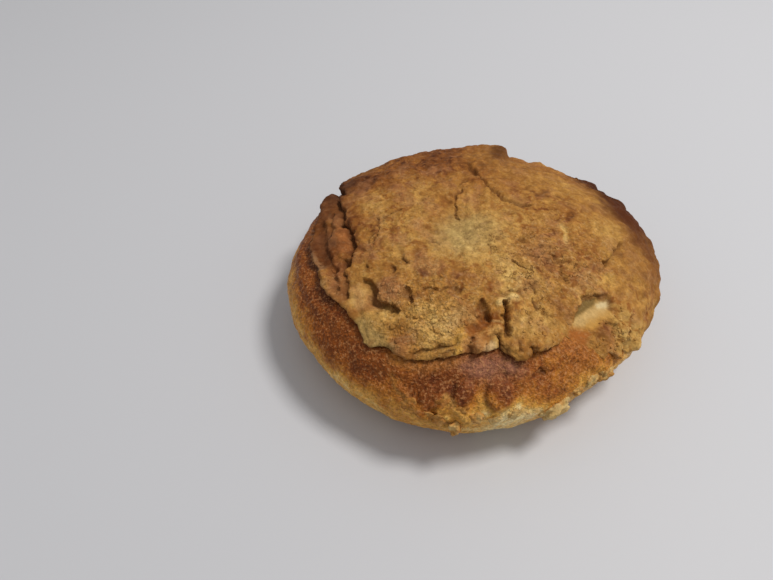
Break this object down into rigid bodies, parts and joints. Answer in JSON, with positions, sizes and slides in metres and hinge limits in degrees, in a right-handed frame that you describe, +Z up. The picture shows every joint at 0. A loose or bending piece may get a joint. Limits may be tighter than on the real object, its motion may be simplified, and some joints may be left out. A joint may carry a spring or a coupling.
{
  "type": "red bean bun with streusel top",
  "caption": "Round baked sweet bun with a craggy streusel slab over its crown, resting on a flat base; uncut, with its bean filling hidden.",
  "frame": {"origin": "middle of the bun's box, on the surface that it stands on", "axes": "+Z up, +X to the side where the streusel runs down the flank, -Y to the side where the bare dough shows"},
  "size_m": [0.131, 0.1304, 0.0397],
  "materials": {
    "baked_dough": "baked bread crust, deep brown on the shoulder and pale at the foot, slightly glossy",
    "streusel": "dry craggy golden streusel, browner at its edges"
  },
  "bodies": {
    "root": {"bun_body": "baked_dough", "streusel_crust": "streusel"}
  },
  "joints": []
}
